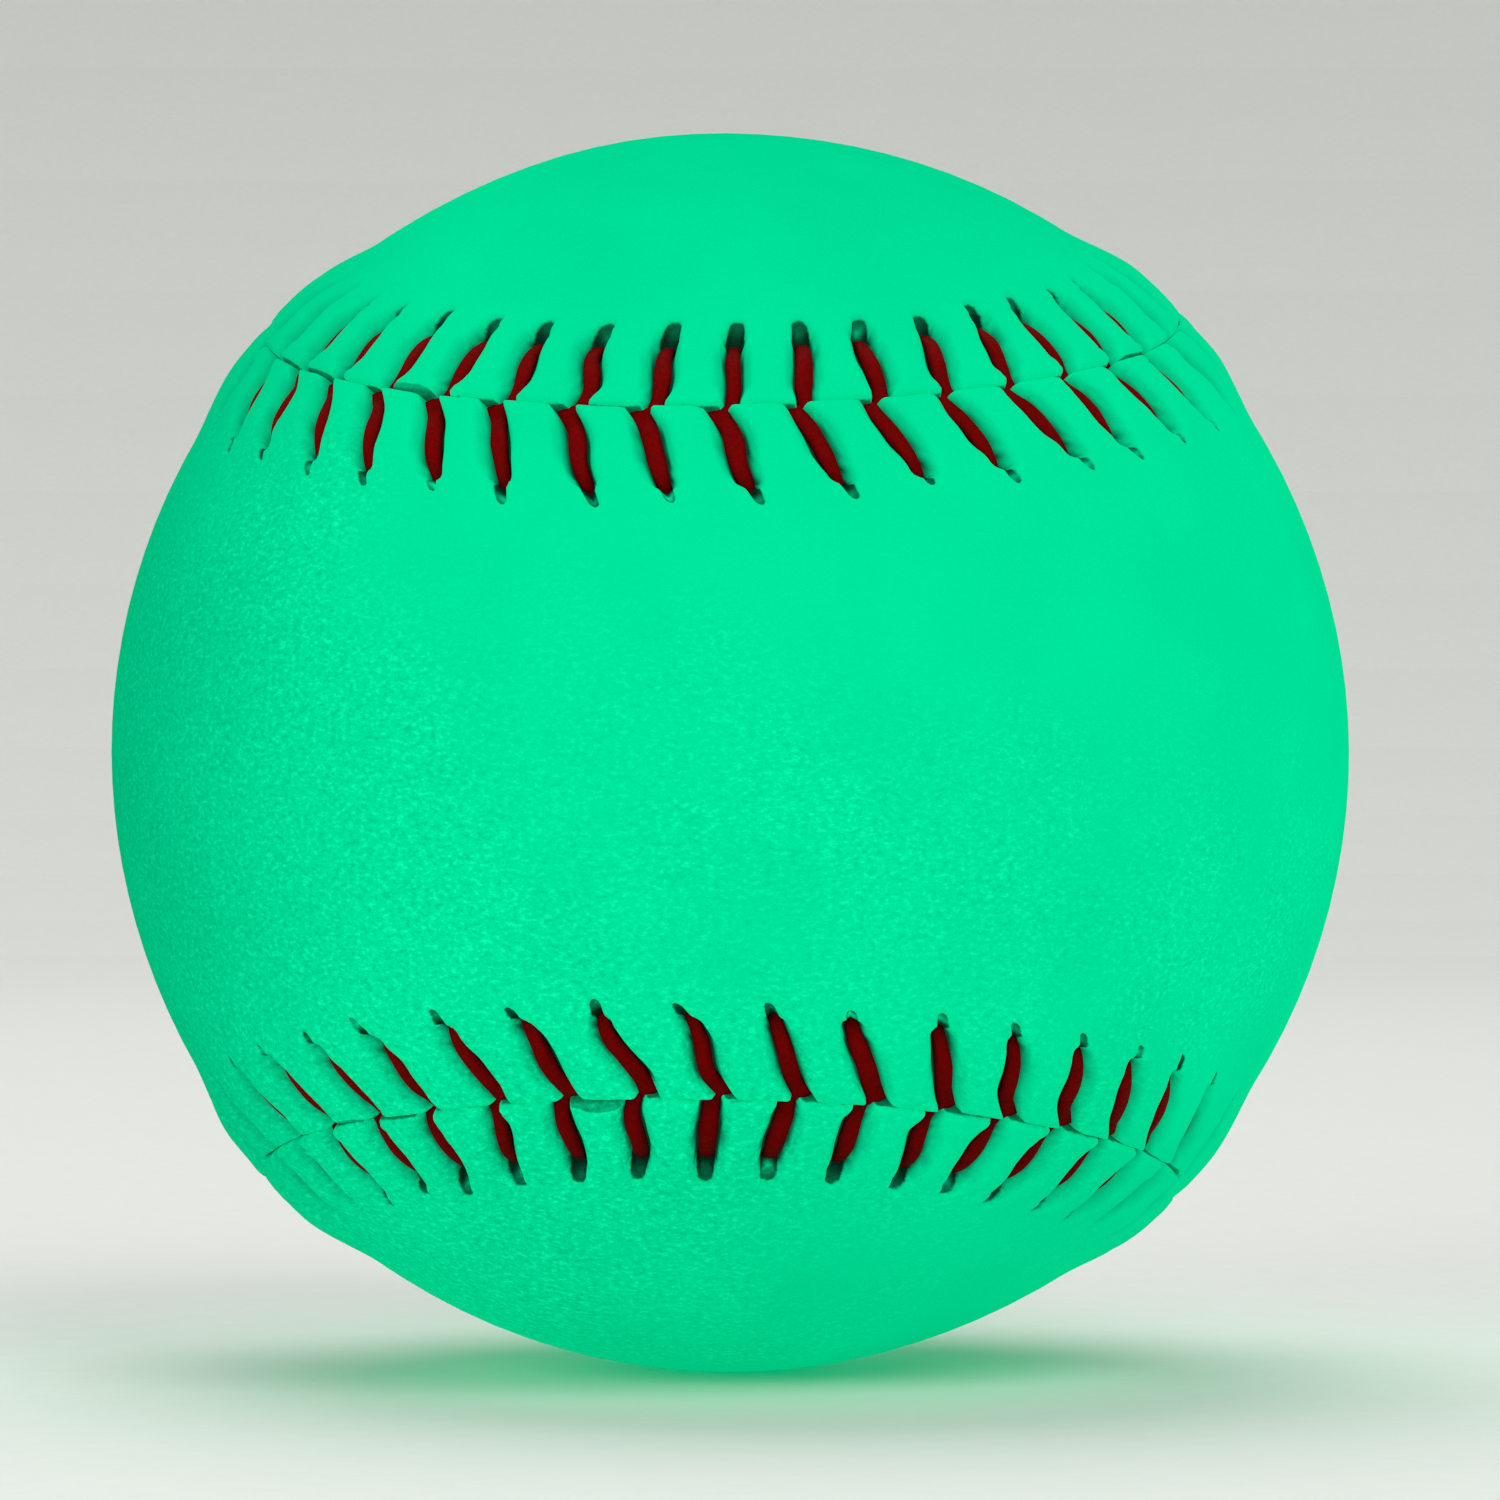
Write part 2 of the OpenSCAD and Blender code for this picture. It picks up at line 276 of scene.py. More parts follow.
    def half_width(self, stitch, side, off):
        """Half of a groove's width at a distance from the seam, both in millimetres: narrow at the seam
        and at the hole with a belly between, and with small uneven waves of its own."""
        ends, belly, belly_reach = 0.72, 0.28, 5
        ripple, ripple_rate, phase_rate = 0.035, 3.1, 40
        each = np.mod(stitch, self.count)
        phase = phase_rate * self.sway[side][each] / MM
        swell = ends + belly * np.sin(np.pi * np.clip(off / belly_reach, 0, 1))
        swell = swell + ripple * np.sin(ripple_rate * off + phase)
        return 0.5 * self.sizes.groove_width / MM * self.girth[side][each] * swell

    def leg_place(self, stitch, side, away):
        """Place of a leg's middle line at a distance from the seam: a straight lean from where it
        passes the seam to its needle hole, squarer at the hole, with a slight S and, on the front, a
        hook at the seam."""
        square_from, squareness, hook_reach = 0.85, 0.2, 0.6 * MM
        each = np.mod(stitch, self.count)
        share = away / self.sizes.hole_offset
        share = share - squareness * np.maximum(share - square_from, 0)
        start = side * self.sizes.pass_spread
        end = self.lead[side] + self.lead_slip[side][each]
        bend = self.sway[side][each] * np.sin(2 * np.pi * share)
        if side == FRONT:
            bend = bend - self.sizes.hook * np.exp(-away / hook_reach)
        return stitch + self.first_stitch + (start + (end - start) * share + bend) / self.pitch

    def beside_leg(self, stitch, side, place, away):
        """Distance from a leg's middle line, square to the leg's lean."""
        lean = math.atan2(self.lead[side] - side * self.sizes.pass_spread, self.sizes.hole_offset)
        along = (place - self.leg_place(stitch, side, away)) * self.stretch(place, side, away)
        return np.abs(along) * math.cos(lean)


# Next, off is the distance from the seam, aside that from a leg's middle line and beyond that outwards
# from a hole's middle. These and heights are in millimetres. A ramp has its rise, its start and its end.
def pad_crown(seam, side, place, away, each):
    """Height of the pad between two stitches, its height with the rolled edge, and the width in metres by
    which its edge is widened and darker: the pad rises a little from the seam and falls slowly beyond
    the holes, and its edge is a quarter round."""
    at_seam, rise, fall = 0.85, (0.15, 0, 1.2), (1, 2.6, 8.2)
    off, edge = away / MM, seam.sizes.edge_depth / MM
    swell = seam.sizes.pad_height / MM * seam.swell[side][each]
    pad = swell * (at_seam + ramp(*rise, off)) * (1 - ramp(*fall, off))
    worn = seam.dark_edge_width(place, side)
    crown = (pad + edge) * rounded(away / (seam.sizes.edge_radius + worn)) - edge
    return pad, crown, worn


def pressed_groove(seam, side, stitch, off, aside, crown):
    """Height of the leather with a leg's groove pressed in: a floor that dips at the seam and sinks
    towards the hole, and walls that are steepest at the groove's mouth and level out at the crown. The
    mouth flares at the seam, and the groove ends round the needle hole."""
    flare, flare_reach = 0.18 if side == FRONT else 0.1, 0.35
    dip, dip_reach, sink = 0.3, 0.5, (0.35, 2.4, 4.6)
    narrow_wall, widening, closing = 0.36, (0.94, 0, 1.6), (0.5, 2.6, 4.6)
    steepness, end = 3.2, (1, 4.7, 5.4)
    mouth = seam.half_width(stitch, side, off) + flare * np.exp(-off / flare_reach)
    floor = -seam.sizes.groove_depth / MM - dip * bell(off, dip_reach) - ramp(*sink, off)
    wall_width = narrow_wall + ramp(*widening, off) - ramp(*closing, off)
    wall = 1 - (1 - np.clip((aside - mouth) / wall_width, 0, 1)) ** steepness
    return crown + (floor - crown) * (1 - wall) * (1 - ramp(*end, off))


def distance_to_hole(seam, side, each, off, aside):
    """Distance to a needle hole's rim, less than 0 inside it, and the distance beyond its middle: the
    hole is a slot with round ends that narrows outwards."""
    narrowing, narrowing_reach = 0.34 if side == FRONT else 0.2, 1.2
    hole_width, hole_length = (size / MM for size in seam.hole_size[side])
    beyond = off - (seam.sizes.hole_offset + seam.hole_slip[side][each]) / MM
    past_straight = np.maximum(np.abs(beyond) - 0.5 * (hole_length - hole_width), 0)
    outwards = np.clip(beyond, -narrowing_reach, narrowing_reach)
    to_hole = np.hypot(aside, past_straight) - 0.5 * hole_width * (1 - narrowing * outwards)
    return to_hole, beyond


def bare_light(seam, side, each, off, aside, beyond):
    """Share of the glow painted as light on bare leather: most along the edges at the seam, painted shade
    with hardly any in a needle hole, a little more towards its outer end, and in some holes a painted
    glint, a bell each way."""
    edge_light, brighter, edge_end = 0.25, (0.27, 0.08, 0.2), (1, 0.9, 1.5)
    deep_light, outer_light = 0.01, (0.14, -0.1, 1.0)
    glint_light, glint_width, glint_place, glint_length = 1.2, 0.3, 0.3, 0.26
    near_seam = (edge_light + ramp(*brighter, off)) * (1 - ramp(*edge_end, off))
    # a painted glint in some needle holes
    glint = seam.glint[side][each] * bell(aside, glint_width) * bell(beyond - glint_place, glint_length)
    return near_seam + deep_light + ramp(*outer_light, beyond) + glint_light * glint


def leather_relief(seam, side, place, away, stitch):
    """Height of a panel's leather over the ball in metres, the share of the coat's glow that painted shade
    leaves with depth, the distance to bare leather, painted dark as in shade, in millimetres, and the
    painted light that reaches that.

    Grooves, and needle holes whose floors climb outwards, are pressed into pads. Painted shade fades the
    glow on a groove's walls until it is almost gone on its floor. The leather is bare, and painted dark
    as in shade, in the holes, all but their lit rims, and where its rolled edge is widened and darker.
    """
    pit, pit_depth, pit_climb = (1, -0.4, 0.12), 1.15, (0.55, -0.6, 0.9)
    edge_shade, wall_shade, floor_shade = 0.45, (0.22, 0.2, 0.6), (0.72, 0.75, 1.2)
    lit_rim = 0.12 if side == REAR else 0.02
    each = np.mod(stitch, seam.count)
    off = away / MM
    aside = seam.beside_leg(stitch, side, place, away) / MM
    pad, crown, worn = pad_crown(seam, side, place, away, each)
    height = pressed_groove(seam, side, stitch, off, aside, crown)
    to_hole, beyond = distance_to_hole(seam, side, each, off, aside)
    pit_floor = ramp(*pit_climb, beyond) - pit_depth
    height = height + (np.minimum(pit_floor, height) - height) * (1 - ramp(*pit, to_hole))
    # painted shade: the glow fades with depth below the crown and down a rolled edge
    sunk = crown - height + edge_shade * (pad - crown)
    recess_shaded_glow = 1 - ramp(*wall_shade, sunk) - ramp(*floor_shade, sunk)
    # the leather is painted dark as in shade in the seam's gap, at a widened rolled edge and in the holes
    to_edge = (away - np.maximum(0.5 * seam.line_width(place), worn)) / MM
    to_bare_and_shaded = np.clip(np.minimum(to_hole + lit_rim, to_edge), -BARE_REACH, BARE_REACH)
    return height * MM, recess_shaded_glow, to_bare_and_shaded, bare_light(seam, side, each, off, aside, beyond)


def waviness(points):
    """Slow unevenness of stretched leather, under a tenth of a millimetre: four sine waves through
    space, each with its rates along X, Y and Z and its phase."""
    wave_height = 0.02 * MM
    waves = ((210, 130, -90, 0.4), (-120, 240, 160, 1.9), (90, -170, 260, 4.1), (310, 80, 140, 5.2))
    total = sum(np.sin(points @ np.array(wave[:3]) + wave[3]) for wave in waves)
    return wave_height * total


def grid_faces(columns, rows, tube=False):
    """Two triangles for each cell of a band whose rows close on themselves, or of a tube, which closes
    both ways."""
    bands = rows if tube else rows - 1
    across, along = np.meshgrid(np.arange(bands), np.arange(columns), indexing="ij")
    row, next_row, beside = across * columns, (across + 1) % rows * columns, (along + 1) % columns
    a, b, c, d = row + along, row + beside, next_row + beside, next_row + along
    return np.concatenate([np.stack(half, -1).reshape(-1, 3) for half in ((a, b, c), (a, c, d))])


def narrowing_faces(fine_start, coarse_start, coarse_columns):
    """Four triangles for each three fine columns that meet one coarse column."""
    step = np.arange(coarse_columns)
    fine = [fine_start + (COARSER * step + k) % (COARSER * coarse_columns) for k in range(COARSER + 1)]
    coarse = [coarse_start + (step + k) % coarse_columns for k in range(2)]
    corners = [
        (fine[0], fine[1], coarse[0]), (fine[1], coarse[1], coarse[0]),
        (fine[1], fine[2], coarse[1]), (fine[2], fine[3], coarse[1]),
    ]
    return np.concatenate([np.stack(c, -1) for c in corners])


def seam_rows(edge, last, count):
    """Distances from the seam, crowded at the rolled edge and round the needle holes and sparser past
    them: equal shares of a running sum of how many rows each stretch needs."""
    samples, even_need = 2000, 5
    edge_need, edge_width = 14, 0.35 * MM
    hole_need, hole_place, hole_width = 3.5, 5.2 * MM, 0.9 * MM
    fewer = (0.5, 6.5 * MM, 8 * MM)
    off = np.linspace(edge, last, samples)
    need = even_need + edge_need * bell(off, edge_width) + hole_need * bell(off - hole_place, hole_width)
    filled = np.cumsum(need * (1 - ramp(*fewer, off)))
    return np.interp(np.linspace(filled[0], filled[-1], count), filled, off)


def near_seam_grid(seam, side, even, away):
    """Places of the fine columns beside the seam, and the stitch that each belongs to: columns crowd
    into the grooves and lean with the legs, and settle into even ones away from the seam."""
    even_steps, crowded_steps = (0, 0.1, 0.34, 0.5), (0, 0.07, 0.2, 0.5)
    settle_from = 6.8 * MM
    start = seam.first_stitch + side * seam.sizes.pass_spread / seam.pitch
    stitch = np.round(even - start).astype(int)
    off_leg = even - start - stitch
    crowded = stitch + start + np.sign(off_leg) * np.interp(np.abs(off_leg), even_steps, crowded_steps)
    at_seam = np.zeros(len(even))
    lean_now, lean_next = (
        seam.leg_place(leg, side, away) - seam.leg_place(leg, side, at_seam)
        for leg in (stitch, stitch + np.sign(off_leg).astype(int))
    )
    lean = lean_now + (lean_next - lean_now) * np.abs(off_leg)
    settle = ramp(1, settle_from, away[-1, 0], away)
    return (crowded + lean) * (1 - settle) + even * settle, stitch


def plain_layer(seam, side, places, start, shares, height):
    """A panel's layer at one height: rows at shares of the way from a start to the panel's middle."""
    off = start + (seam.reach(places, side) - start) * shares[:, None]
    return seam.points(np.broadcast_to(places, off.shape), side * off, np.full(off.shape, height))


def cover_panel(seam, side):
    """One panel of the cover as a closed shell of triangles, with its finish per point.

    Rows run away from the seam and columns along it. Near the seam the columns are fine. Further off
    they are three times coarser and even, so that they meet across the waist's middle line. The inside
    is a plain layer one thickness down.
    """
    fine_per_stitch, fine_rows, coarse_rows, inside_rows = 18, 50, 11, 8
    fine_reach = 9.5 * MM
    edge = 0.5 * seam.sizes.seam_gap
    columns = seam.count * fine_per_stitch
    coarse_columns = columns // COARSER
    even = np.arange(columns) / fine_per_stitch
    coarse = even[::COARSER]
    away = np.broadcast_to(seam_rows(edge, fine_reach, fine_rows)[:, None], (fine_rows, columns))
    place, stitch = near_seam_grid(seam, side, even, away)
    height, *finish = leather_relief(seam, side, place, away, stitch)
    depth = seam.sizes.cover_thickness
    outside, middle, inside = (layer.reshape(-1, 3) for layer in (
        seam.points(place, side * away, height),
        plain_layer(seam, side, coarse, fine_reach, np.linspace(0, 1, coarse_rows)[1:], 0.0),
        plain_layer(seam, side, coarse, edge, np.linspace(0, 1, inside_rows), -depth),
    ))

    # what the finish is on the leather's even outside and on its inside
    plain = {"recess_shaded_glow": (1, 0), "to_bare_and_shaded": (BARE_REACH, -BARE_REACH), "shaft_light": (0, 0)}
    finishes = {
        name: np.concatenate([near.ravel(), np.full(len(middle), outer), np.full(len(inside), inner)])
        for near, (name, (outer, inner)) in zip(finish, plain.items())
    }
    coarse_start = len(outside)
    inner_start = coarse_start + len(middle)
    points = np.concatenate([outside, middle, inside])
    lift = np.concatenate([np.ones(inner_start), np.zeros(len(inside))])
    points = points * (1 + lift * waviness(points) / seam.radius)[:, None]
    faces = np.concatenate([
        grid_faces(columns, fine_rows),
        narrowing_faces(coarse_start - columns, coarse_start, coarse_columns),
        coarse_start + grid_faces(coarse_columns, coarse_rows - 1),
        narrowing_faces(0, inner_start, coarse_columns)[:, ::-1],
        inner_start + grid_faces(coarse_columns, inside_rows)[:, ::-1],
    ])
    return points, faces, finishes


def thread_route(seam, first_side):
    """Stations of one thread, a row each: its middle, the way its width points, its width and its
    thickness. At each stitch it climbs through a needle hole, lies along the groove, dives through the
    seam and runs under the other panel to the next hole."""
    # each station of a leg, from hole to seam: distance off the seam and height in millimetres, the
    # shares of the groove's width that it fills on the rear and on the front, and of the thickness
    leg = np.array([
        (5.10, -1.90, 0.90, 0.90, 0.60),
        (4.95, -1.40, 0.90, 0.90, 0.80),
        (4.62, -0.92, 0.88, 0.88, 0.85),
        (4.12, -0.64, 0.90, 0.90, 0.95),
        (3.35, -0.42, 0.91, 0.91, 1.00),
        (2.40, -0.34, 0.92, 0.92, 1.00),
        (1.45, -0.42, 0.93, 0.95, 1.00),
        (0.75, -0.54, 0.98, 1.12, 0.95),
        (0.30, -0.56, 1.10, 1.55, 0.92),
        (0.08, -0.64, 1.00, 1.75, 0.85),
        (0.00, -1.40, 0.90, 1.20, 0.70),
    ])
    # each buried station: share of the way to the next hole, height in millimetres, and the shares of
    # the thread's width and of its thickness
    buried = np.array([(0.12, -1.90, 0.8, 0.62), (0.5, -1.95, 0.95, 0.6), (0.88, -1.92, 0.85, 0.6)])
    groove_filled = 0.9
    leg_off, leg_height, rear_fill, front_fill, leg_thickness = leg.T
    buried_share, buried_height, buried_width, buried_thickness = buried.T

    stitch = np.arange(seam.count)[:, None]
    sides = np.where((stitch + (0 if first_side == REAR else 1)) % 2 == 0, REAR, FRONT)
    on_rear = sides == REAR
    off = np.broadcast_to(leg_off * MM, (seam.count, len(leg)))
    next_off = np.full((seam.count, 1), leg_off[0] * MM)
    rear_places, front_places = (seam.leg_place(stitch, side, off) for side in (REAR, FRONT))
    rear_next, front_next = (seam.leg_place(stitch + 1, side, next_off) for side in (REAR, FRONT))
    leg_places = np.where(on_rear, rear_places, front_places)
    next_places = np.where(on_rear, front_next, rear_next)
    pass_places = leg_places[:, -1:]
    buried_places = pass_places + (next_places - pass_places) * buried_share
    place = np.concatenate([leg_places, buried_places], axis=1)
    across = np.concatenate([sides * off, -sides * next_off * buried_share], axis=1)
    depth = np.broadcast_to(np.concatenate([leg_height, buried_height]) * MM, place.shape)
    stations = seam.points(place, across, depth).reshape(-1, 3)

    rear_half = seam.half_width(stitch, REAR, leg_off) * rear_fill
    front_half = seam.half_width(stitch, FRONT, leg_off) * front_fill
    leg_width = 2 * MM * np.where(on_rear, rear_half, front_half)
    under_width = buried_width * groove_filled * seam.sizes.groove_width
    width = np.concatenate([leg_width, np.broadcast_to(under_width, buried_places.shape)], axis=1)
    thickness = np.broadcast_to(np.concatenate([leg_thickness, buried_thickness]), place.shape)

    hole = seam.points(leg_places[:, :1], across[:, :1], depth[:, :1])
    gone = seam.points(pass_places, 0 * pass_places, depth[:, :1])
    landed = seam.points(next_places, -sides * next_off, depth[:, :1])
    leg_way = np.broadcast_to(gone - hole, (seam.count, len(leg), 3))
    buried_way = np.broadcast_to(landed - gone, (seam.count, len(buried), 3))
    turn = np.where(stitch % 2 == 0, 1, -1)[..., None]
    way = (turn * np.concatenate([leg_way, buried_way], axis=1)).reshape(-1, 3)
    aside = unit(np.cross(way, unit(stations)))
    flat_sizes = (width.reshape(-1, 1), thickness.reshape(-1, 1) * seam.sizes.thread_thickness)
    return np.concatenate([stations, aside, *flat_sizes], axis=1)


def thread_strand(seam, first_side):
    """One thread as a closed tube of triangles: a smooth curve through its stations carries a full
    oval, on which three plies show as a wave that twists as it goes."""
    per_station, corners, fullness = 4, 16, 0.78
    plies, ply_height, lay = 3, 0.04, 3.2 * MM
    rings = curve_through(thread_route(seam, first_side), per_station)
    middle, aside, wide, thick = rings[:, :3], rings[:, 3:6], rings[:, 6:7], rings[:, 7:8]
    ahead = unit(np.roll(middle, -1, axis=0) - np.roll(middle, 1, axis=0))
    aside = unit(aside - ahead * (aside * ahead).sum(axis=1, keepdims=True))
    over = np.cross(ahead, aside)

    step = np.linalg.norm(np.roll(middle, -1, axis=0) - middle, axis=1)
    run = np.concatenate([[0], np.cumsum(step)[:-1]])
    twist = 2 * np.pi * round(step.sum() / lay) * run / step.sum()
    around = 2 * np.pi * (np.arange(corners) + 0.5) / corners
    sideways, upward = (
        np.sign(wave) * np.abs(wave) ** fullness for wave in (np.cos(around), np.sin(around))
    )
    ply = 1 + ply_height * np.cos(plies * around[None, :] - twist[:, None])
    shape = ply[..., None] * (
        0.5 * wide[..., None] * sideways[None, :, None] * aside[:, None, :]
        + 0.5 * thick[..., None] * upward[None, :, None] * over[:, None, :]
    )
    faces = grid_faces(corners, len(middle), tube=True)[:, ::-1]
    return (middle[:, None, :] + shape).reshape(-1, 3), faces


def curve_through(stations, per_station):
    """Smooth closed curve through stations: on each span, a cubic that leaves and arrives along the
    line between the neighbours."""
    before, after = np.roll(stations, 1, axis=0), np.roll(stations, -1, axis=0)
    later = np.roll(stations, -2, axis=0)
    t = (np.arange(per_station) / per_station)[None, :, None]
    a, b, c, d = (s[:, None, :] for s in (before, stations, after, later))
    curve = 0.5 * (
        2 * b + (c - a) * t + (2 * a - 5 * b + 4 * c - d) * t**2 + (3 * b - a - 3 * c + d) * t**3
    )
    return curve.reshape(-1, stations.shape[1])


def revolved(out, up, around):
    """A profile of distances from the vertical axis and heights, carried once round that axis."""
    turn = 2 * np.pi * np.arange(around) / around
    level = np.broadcast_to(up[:, None], (len(up), around))
    x, y = out[:, None] * np.cos(turn), out[:, None] * np.sin(turn)
    return np.stack([x, y, level], axis=-1).reshape(-1, 3)


def ball_shell(outer, inner):
    """A spherical shell as two grids of latitude and longitude, the inner one turned inwards."""
    columns, rows = 96, 49
    polar = np.linspace(0, np.pi, rows)
    outward = revolved(np.sin(polar), np.cos(polar), columns)
    faces = grid_faces(columns, rows)[:, ::-1]
    points = np.concatenate([outer * outward, inner * outward])
    return points, np.concatenate([faces, len(outward) + faces[:, ::-1]])


def wound_ball(outer, inner, strand, wraps):
    """Yarn wound over a plain core: one closed tube of great circles whose axis spirals from the pole
    to the equator and back while the radius grows to the outer one, then sinks again."""
    per_wrap, corners, axis_turns, sunk_strands = 48, 6, 11, 1.2
    share = np.arange(wraps * per_wrap) / (wraps * per_wrap)
    climb = 1 - np.abs(2 * share - 1)
    lean, azimuth = np.arccos(1 - climb), 2 * np.pi * axis_turns * share
    angle = 2 * np.pi * wraps * share
    level = np.stack([-np.sin(azimuth), np.cos(azimuth), 0 * share], -1)
    upward = np.stack([
        -np.cos(lean) * np.cos(azimuth), -np.cos(lean) * np.sin(azimuth), np.sin(lean),
    ], -1)
    radial = np.cos(angle)[:, None] * level + np.sin(angle)[:, None] * upward
    middle = (outer - strand * (0.5 + sunk_strands * (1 - climb)))[:, None] * radial
    ahead = np.roll(middle, -1, axis=0) - np.roll(middle, 1, axis=0)
    aside = unit(np.cross(ahead, radial))
    around = (2 * np.pi * np.arange(corners) / corners)[None, :, None]
    ring = np.cos(around) * aside[:, None, :] + np.sin(around) * radial[:, None, :]
    tube = (middle[:, None, :] + 0.5 * strand * ring).reshape(-1, 3)
    core, core_faces = ball_shell(outer - strand, inner)
    tube_faces = grid_faces(corners, len(middle), tube=True)[:, ::-1]
    return np.concatenate([tube, core]), np.concatenate([tube_faces, len(tube) + core_faces])


def new_piece(name, points, faces, attributes, replaced):
    """A smooth mesh from points and triangles, welded where points coincide and turned outwards,
    riding on the ball in place of a CAD node."""
    weld_digits = 8
    _, first, welded = np.unique(
        np.round(points, weld_digits), axis=0, return_index=True, return_inverse=True
    )
    faces = welded.reshape(-1)[faces]
    whole = (faces[:, 0] != faces[:, 1]) & (faces[:, 1] != faces[:, 2]) & (faces[:, 2] != faces[:, 0])
    faces, points = faces[whole], points[first]
    a, b, c = (points[faces[:, k]] for k in range(3))
    if (a * np.cross(b, c)).sum() < 0:
        faces = faces[:, ::-1]
    mesh = bpy.data.meshes.new(name)
    mesh.vertices.add(len(points))
    mesh.vertices.foreach_set("co", points.astype(np.float32).ravel())
    mesh.loops.add(faces.size)
    mesh.loops.foreach_set("vertex_index", np.ascontiguousarray(faces, dtype=np.int32).ravel())
    mesh.polygons.add(len(faces))
    mesh.polygons.foreach_set("loop_start", np.arange(0, faces.size, 3, dtype=np.int32))
    for attribute, values in attributes.items():
        layer = mesh.attributes.new(attribute, "FLOAT", "POINT")
        layer.data.foreach_set("value", values[first].astype(np.float32))
    mesh.update(calc_edges=True)
    mesh.validate()
    mesh.shade_smooth()
    piece = bpy.data.objects.new(name, mesh)
    bpy.context.scene.collection.objects.link(piece)
    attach(piece, "root")
    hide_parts(replaced)
    return piece


def add(tree, kind, inputs=None, **settings):
    """Adds a shader node: settings are its own, inputs are values or outputs for its sockets."""
    node = tree.nodes.new("ShaderNode" + kind)
    for name, value in settings.items():
        setattr(node, name, value)
    for socket, value in (inputs or {}).items():
        if isinstance(value, bpy.types.NodeSocket):
            tree.links.new(value, node.inputs[socket])
        else:
            node.inputs[socket].default_value = value
    return node


def new_material(name, **shader):
    """A material with its shader's constants: returns it, its tree, its shader and the place in space
    that its patterns follow."""
    material = bpy.data.materials.new(name)
    material.use_nodes = True
    tree = material.node_tree
    tree.nodes.clear()
    surface = add(tree, "BsdfPrincipled", {k.replace("_", " "): v for k, v in shader.items()})
    add(tree, "OutputMaterial", {"Surface": surface.outputs["BSDF"]})
    return material, tree, surface, add(tree, "TexCoord").outputs["Object"]


def per_metre(millimetres):
    """Texture scale whose features are about this many millimetres wide."""
    return 1 / (millimetres * MM)


def tone_and_grain(tree, surface, rgb, tone, height, strength, depth):
    """Lets a tone scale a material's colour, and a height of so many millimetres roughen its surface."""
    base = add(tree, "VectorMath", {0: rgb, "Scale": tone}, operation="SCALE")
    tree.links.new(base.outputs["Vector"], surface.inputs["Base Color"])
    if strength:
        bump = add(tree, "Bump", {"Height": height, "Strength": strength, "Distance": depth * MM})
        tree.links.new(bump.outputs["Normal"], surface.inputs["Normal"])


def noisy_material(name, rgb, width, noise, tones, span=(0.3, 0.7), strength=0, depth=0, **shader):
    """A material with a noise some millimetres wide: a span of it maps to two tones of the colour, and
    it may roughen the surface to a depth in millimetres."""
    material, tree, surface, where = new_material(name, **shader)
    pattern = add(tree, "TexNoise", {"Vector": where, "Scale": per_metre(width), **noise})
    tone = add(tree, "MapRange", {
        "Value": pattern.outputs["Fac"], "From Min": span[0], "From Max": span[1],
        "To Min": tones[0], "To Max": tones[1],
    })
    tone_and_grain(tree, surface, rgb, tone.outputs["Result"], pattern.outputs["Fac"], strength, depth)
    return material


